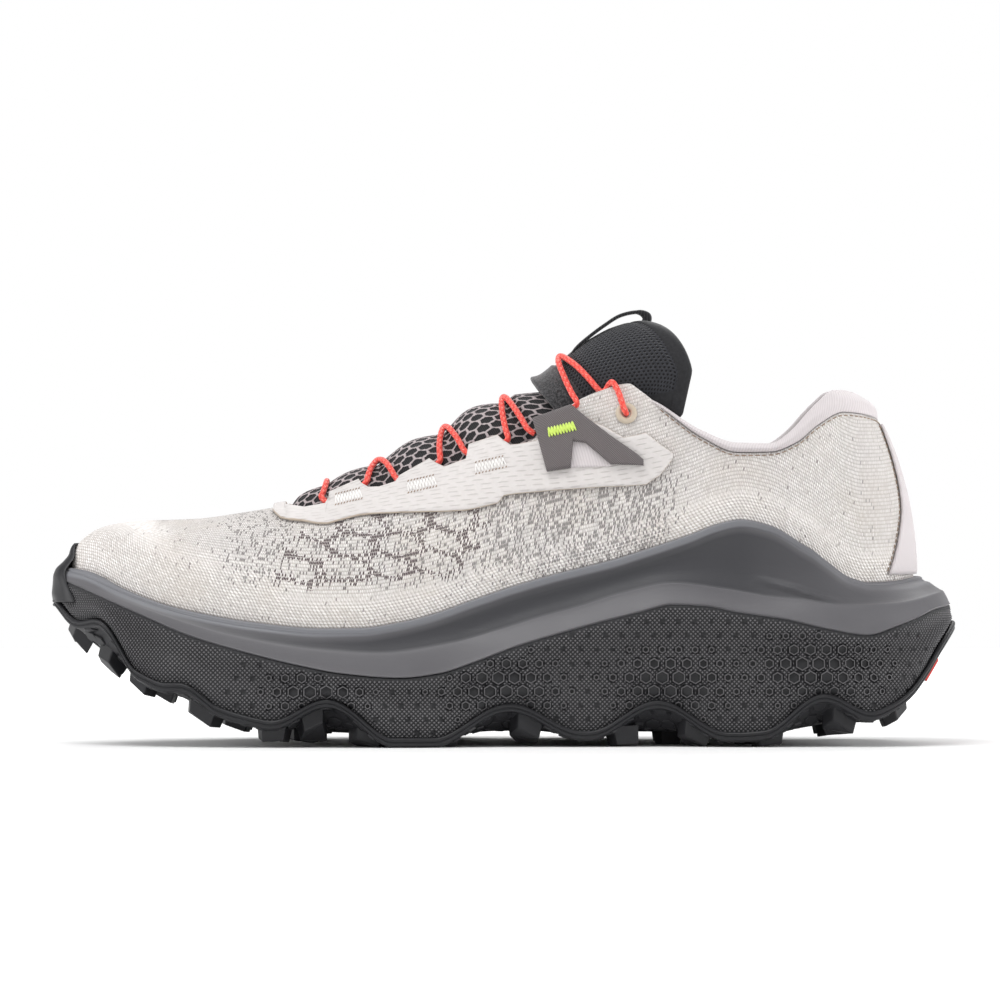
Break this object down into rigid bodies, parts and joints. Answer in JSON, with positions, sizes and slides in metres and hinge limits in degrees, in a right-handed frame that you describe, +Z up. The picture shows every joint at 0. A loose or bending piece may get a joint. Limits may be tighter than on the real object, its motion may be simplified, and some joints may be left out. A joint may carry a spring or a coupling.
{
  "type": "trail running shoe",
  "caption": "Low trail running shoe with a knitted upper, padded collar and tongue, thick two-part foam midsole and lugged rubber outsole.",
  "frame": {"origin": "centre of the bounding box in plan, on the floor that the shoe stands on", "axes": "+Z up, +X along the shoe from toe to heel, +Y from the medial to the lateral side"},
  "size_m": [0.2989, 0.1123, 0.144],
  "materials": {
    "outsole_rubber": "satin black rubber with fine relief",
    "accent_rubber": "matte red rubber",
    "core_foam": "charcoal moulded foam with small pyramids",
    "carrier_foam": "smooth mid-grey foam",
    "insole_foam": "dark textile-covered foam",
    "knit": "off-white knit",
    "cuff_textile": "smooth pinkish-white textile over foam",
    "heel_textile": "smooth pinkish-white textile",
    "eyestay_film": "off-white film with embossed dashes",
    "webbing": "warm dark grey twill",
    "eyelet": "beige moulded eyelet",
    "tongue_mesh": "black cells on a pinkish-grey mesh",
    "tongue_padding": "black spacer mesh",
    "pocket_textile": "black stretch textile",
    "loop_webbing": "black woven tape",
    "lace": "coral red round cord"
  },
  "bodies": {
    "root": {"outsole": "outsole_rubber", "heel_bumper_accent": "accent_rubber", "midsole_core": "core_foam", "midsole_carrier": "carrier_foam", "insole": "insole_foam", "upper": "knit", "collar_cuff": "cuff_textile", "heel_strip": "heel_textile", "eyestay": "eyestay_film", "webbing_medial": "webbing", "webbing_lateral": "webbing", "eyelet_medial": "eyelet", "eyelet_lateral": "eyelet", "tongue": "tongue_mesh", "tongue_pad": "tongue_padding", "lace_pocket": "pocket_textile", "pull_loop": "loop_webbing", "lace_bar": "lace", "lace_cross_1": "lace", "lace_cross_2": "lace", "lace_cross_3": "lace", "lace_cross_4": "lace"}
  },
  "joints": []
}
